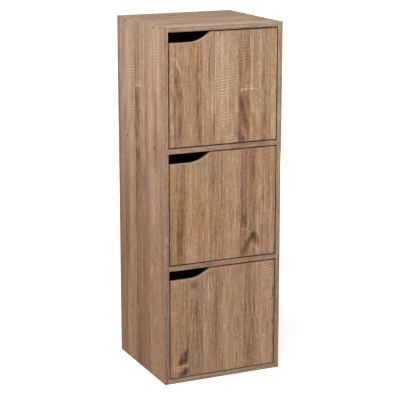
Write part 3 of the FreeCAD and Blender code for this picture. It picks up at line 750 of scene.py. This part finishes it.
def door_band(node):
    """The band round a door: its print turns with the edge. It is paler in the finger hole, a painted
    highlight, and darker brown round the rest of the door, painted shade in the gaps.
    """
    material, tree = new_material(node + "_print")
    where = add_node(tree, "TexCoord").outputs
    spot = split(tree, where["Object"])
    upward = calc(tree, "ABSOLUTE", split(tree, where["Normal"])["Z"])
    level = calc(tree, "GREATER_THAN", upward, LEVEL_LIMIT)
    along = choose(tree, level, spot["X"], spot["Z"])
    across = calc(tree, "ADD", choose(tree, level, spot["Z"], spot["X"]), spot["Y"])
    low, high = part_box(node)
    beside = calc(tree, "LESS_THAN", spot["X"], low[0] + HOLE_WIDE)
    above = calc(tree, "GREATER_THAN", spot["Z"], high[2] - HOLE_DEEP)
    painted_highlight_lip = calc(tree, "MULTIPLY", beside, above)
    # A painted highlight in the finger hole, and painted shade, darker and browner, round the rest of the
    # band.
    tone = choose(tree, painted_highlight_lip, HOLE_PAINTED_HIGHLIGHT_TONE, EDGE_PAINTED_SHADE_TONE)
    warmth = choose(tree, painted_highlight_lip, HOLE_PAINTED_HIGHLIGHT_WARMTH, EDGE_PAINTED_SHADE_WARMTH)
    dress_band(node, material, across, along, tone, warmth)


for door in DOOR_CUTTINGS:
    door_band(door + "_door_edge_band")


# Back panel: thin fibreboard slid into grooves in the sides, the top and the bottom.
# Its front has the print, and its rear is bare brown board with a felted fibre grain.
# Where the middle and the foot of the back lie on the roll.
MIDDLE_ACROSS = 0.15
FOOT_ALONG = 0.9
FIBRE_COLOURS = [
    (0.3, colour(132, 97, 67)),
    (0.5, colour(164, 126, 91)),
    (0.7, colour(190, 153, 116)),
]
FELT_RATE, FELT_SHARE = 320.0, 0.7
CLOUD_RATE, CLOUD_SHARE = 30.0, 0.3
BARE_ROUGHER = 0.25
BACK_RELIEF = 0.0001
BACK_SPECULAR = 0.3


def back_board(node):
    """Dresses the back: print where it faces the doors, bare fibre behind and on its edges."""
    material, tree = new_material("fibreboard_back")
    where = add_node(tree, "TexCoord").outputs
    spot = split(tree, where["Object"])
    across = calc(tree, "ADD", spot["X"], MIDDLE_ACROSS)
    along = calc(tree, "SUBTRACT", FOOT_ALONG, spot["Z"])
    oak = draw_oak(tree, calm_place, across, along)
    bare = calc(tree, "GREATER_THAN", split(tree, where["Normal"])["Y"], -FACE_LIMIT)
    felt = noise(tree, where["Object"], FELT_RATE, 6.0)["Fac"]
    cloud = noise(tree, where["Object"], CLOUD_RATE, 4.0)["Fac"]
    mottle = add_layers(tree, 0.0, (felt, FELT_SHARE), (cloud, CLOUD_SHARE))
    shade = blend_colour(tree, bare, oak["Colour"], ramp(tree, mottle, FIBRE_COLOURS)["Color"])
    rough = calc(tree, "MULTIPLY_ADD", bare, BARE_ROUGHER, oak["Roughness"])
    height = calc(tree, "MULTIPLY_ADD", bare, felt, oak["Height"])
    finish_shader(tree, shade, rough, height, BACK_RELIEF, specular=BACK_SPECULAR)
    dress(node, material)


back_board("back_panel")


# Side screws and dowels: bronze-plated socket screws driven through the sides into the boards,
# and fluted beech dowels between them, hidden in the joint.
PLATING_RATE, PLATING_GLOSS = 420.0, 0.22
SCRATCH_RATE, SCRATCH_GLOSS = (5200, 5200, 700), 0.2


def metal(name, shades, rough, relief, metallic):
    """A plated metal: shades mottle its colour, and fine scratches break its gloss."""
    material, tree = new_material(name)
    point = add_node(tree, "TexCoord").outputs["Object"]
    plating = noise(tree, point, PLATING_RATE, 3.0)["Fac"]
    scratch = streaks(tree, point, SCRATCH_RATE, detail=2.0)
    even = rough - PLATING_GLOSS / 2
    gloss = add_layers(tree, even, (plating, PLATING_GLOSS), (scratch, SCRATCH_GLOSS))
    shade = ramp(tree, plating, shades)["Color"]
    finish_shader(tree, shade, gloss, scratch, relief, metallic=metallic)
    return material


dark_bronze = metal(
    "dark_bronze",
    shades=[(0.35, colour(52, 34, 26)), (0.55, colour(78, 53, 40)), (0.7, colour(104, 74, 56))],
    rough=0.42,
    relief=0.00002,
    metallic=0.7,
)
dress("left_side_screws", dark_bronze)
dress("right_side_screws", dark_bronze)

BEECH_COLOURS = [(0.35, colour(176, 138, 96)), (0.5, colour(206, 170, 126)), (0.65, colour(226, 196, 156))]
RAY_RATE, RAY_ROUGH = (60, 1900, 1900), 0.3
BEECH_ROUGH = 0.62
BEECH_RELIEF = 0.00008
beech, tree = new_material("beech_dowel")
rays = streaks(tree, add_node(tree, "TexCoord").outputs["Object"], RAY_RATE, detail=3.0)
tint = ramp(tree, calc(tree, "ADD", rays, 0.5), BEECH_COLOURS)["Color"]
finish_shader(tree, tint, add_layers(tree, BEECH_ROUGH, (rays, RAY_ROUGH)), rays, BEECH_RELIEF)
dress("shelf_dowels", beech)


# Pivot bushes and pins: flanged nylon bushes pressed into the boards above and below a door,
# and bronze-plated steel pins with a collar, pressed into the door's ends, which turn in them.
FLOW_RATE = 160.0
FLOW_SWIRL = 0.6
GRAIN_GLOSS = 0.2


def moulded(name, shades, rough, grain_rate, relief):
    """A moulded or pressed material: a faint flow mottle in its colour and a fine eroded grain."""
    material, tree = new_material(name)
    point = add_node(tree, "TexCoord").outputs["Object"]
    flow = noise(tree, point, FLOW_RATE, 2.0, Distortion=FLOW_SWIRL)["Fac"]
    grain = noise(tree, point, grain_rate, 2.0)["Fac"]
    gloss = add_layers(tree, rough - GRAIN_GLOSS / 2, (grain, GRAIN_GLOSS))
    finish_shader(tree, ramp(tree, flow, shades)["Color"], gloss, grain, relief)
    return material


brown_nylon = moulded(
    "brown_nylon",
    shades=[(0.3, colour(104, 74, 50)), (0.7, colour(126, 92, 64))],
    rough=0.45,
    grain_rate=2600.0,
    relief=0.00002,
)
for door in DOOR_CUTTINGS:
    for end in ("lower", "upper"):
        dress(f"{door}_{end}_pivot_bush", brown_nylon)
        dress(f"{door}_door_{end}_pivot_pin", dark_bronze)


# Magnetic catches: a brown moulded housing screwed to the left side, which holds a ferrite
# magnet between two steel pole plates. A steel strike plate on the door meets them.
brown_moulding = moulded(
    "brown_moulding",
    shades=[(0.3, colour(78, 53, 36)), (0.7, colour(98, 69, 48))],
    rough=0.5,
    grain_rate=1800.0,
    relief=0.00004,
)
ferrite = moulded(
    "ferrite",
    shades=[(0.3, colour(44, 44, 46)), (0.7, colour(66, 66, 68))],
    rough=0.62,
    grain_rate=3000.0,
    relief=0.00003,
)
zinc_plate = metal(
    "zinc_plate",
    shades=[(0.35, colour(146, 148, 149)), (0.5, colour(172, 174, 174)), (0.68, colour(194, 194, 191))],
    rough=0.38,
    relief=0.00001,
    metallic=1.0,
)
dress("catch_screws", zinc_plate)
for door in DOOR_CUTTINGS:
    dress(door + "_catch_housing", brown_moulding)
    dress(door + "_catch_magnet", ferrite)
    dress(door + "_catch_pole_plates", zinc_plate)
    dress(door + "_door_strike_plate", zinc_plate)
    dress(door + "_door_strike_screws", zinc_plate)


# Floor: a wide plain sheet of pale studio card, which isn't part of the cabinet.
# It looks white to the camera away from the cabinet, and keeps the cabinet's soft shadow.
FLOOR_HALF = 30.0
CARD_GREY = (0.7, 0.7, 0.7, 1)
CARD_ROUGH = 0.9
CARD_SPECULAR = 0.1
WHITE = (1, 1, 1, 1)
NEAR, NEAR_GLOW = 0.4, 0.62
FAR, FAR_GLOW = 2.0, 1.0


def seen_straight(tree):
    """One where the camera, a reflection or glass shows a surface, and nought for the light from it."""
    path = add_node(tree, "LightPath").outputs
    straight = calc(tree, "MAXIMUM", path["Is Camera Ray"], path["Is Glossy Ray"])
    return calc(tree, "MAXIMUM", straight, path["Is Transmission Ray"])


shape = bmesh.new()
bmesh.ops.create_grid(shape, x_segments=8, y_segments=8, size=FLOOR_HALF)
floor_mesh = bpy.data.meshes.new("floor")
shape.to_mesh(floor_mesh)
shape.free()
floor = bpy.data.objects.new("floor", floor_mesh)
bpy.context.scene.collection.objects.link(floor)
card, tree = new_material("studio_card")
point = add_node(tree, "TexCoord").outputs["Object"]
distance = add_node(tree, "VectorMath", {0: point}, operation="LENGTH").outputs["Value"]
glow = slope(tree, distance, NEAR, FAR, NEAR_GLOW, FAR_GLOW)
card_finish = {
    "Base Color": CARD_GREY,
    "Roughness": CARD_ROUGH,
    "Specular IOR Level": CARD_SPECULAR,
    "Emission Color": WHITE,
    "Emission Strength": calc(tree, "MULTIPLY", glow, seen_straight(tree)),
}
set_shader(tree, card_finish)
floor_mesh.materials.append(card)


# Studio light: a soft overhead lamp to the left and front, a smaller one over the left side,
# a wide weak one in front and a low one behind to the right, in an even white room.
# The room is dim as a light, and white where the camera or a reflection sees it.
def soft_lamp(name, place, aim, size, watts):
    """A square soft lamp at a place, turned to face the aim."""
    lamp = bpy.data.lights.new(name, "AREA")
    lamp.shape = "SQUARE"
    lamp.size = size
    lamp.energy = watts
    holder = bpy.data.objects.new(name, lamp)
    holder.location = place
    holder.rotation_euler = (Vector(aim) - Vector(place)).to_track_quat("-Z", "Y").to_euler()
    bpy.context.scene.collection.objects.link(holder)


soft_lamp("overhead_lamp", place=(-1.0, -1.3, 1.9), aim=(-0.1, 0, 0.7), size=1.0, watts=25.5)
soft_lamp("left_lamp", place=(-1.1, -0.2, 1.8), aim=(-0.16, 0, 0.8), size=0.7, watts=10.8)
soft_lamp("front_lamp", place=(0.6, -3.0, 1.7), aim=(0, 0, 0.4), size=2.0, watts=22)
soft_lamp("rear_lamp", place=(1.8, 2.0, 0.5), aim=(0, 0, 0.45), size=0.8, watts=30)

ROOM_LIGHT = 0.26
ROOM_SEEN = 1.0
world = bpy.data.worlds.new("white_room")
bpy.context.scene.world = world
world.use_nodes = True
tree = world.node_tree
background = tree.nodes["Background"]
feed(tree, background.inputs["Color"], WHITE)
feed(tree, background.inputs["Strength"], choose(tree, seen_straight(tree), ROOM_SEEN, ROOM_LIGHT))


# Camera: at the photograph's angle, a little to the left and above, on a long lens.
# The aim is how far right of and above the middle of the footprint the lens points.
TURN = math.radians(-24.59)
RISE = math.radians(13.63)
AWAY = 3.760
AIM_RIGHT = 0.0041
AIM_UP = 0.4189
FOCAL_PIXELS = 1414.5
PHOTO_PIXELS = 400
back = Vector((math.sin(TURN) * math.cos(RISE), -math.cos(TURN) * math.cos(RISE), math.sin(RISE)))
right = Vector((math.cos(TURN), math.sin(TURN), 0))
up = back.cross(right)
camera_data = bpy.data.cameras.new("camera")
camera_data.lens = camera_data.sensor_width * FOCAL_PIXELS / PHOTO_PIXELS
camera = bpy.data.objects.new("camera", camera_data)
camera.location = AIM_RIGHT * right + AIM_UP * up + AWAY * back
camera.rotation_euler = Matrix((right, up, back)).transposed().to_euler()
bpy.context.scene.collection.objects.link(camera)
bpy.context.scene.camera = camera
bpy.context.scene.view_settings.view_transform = "Standard"
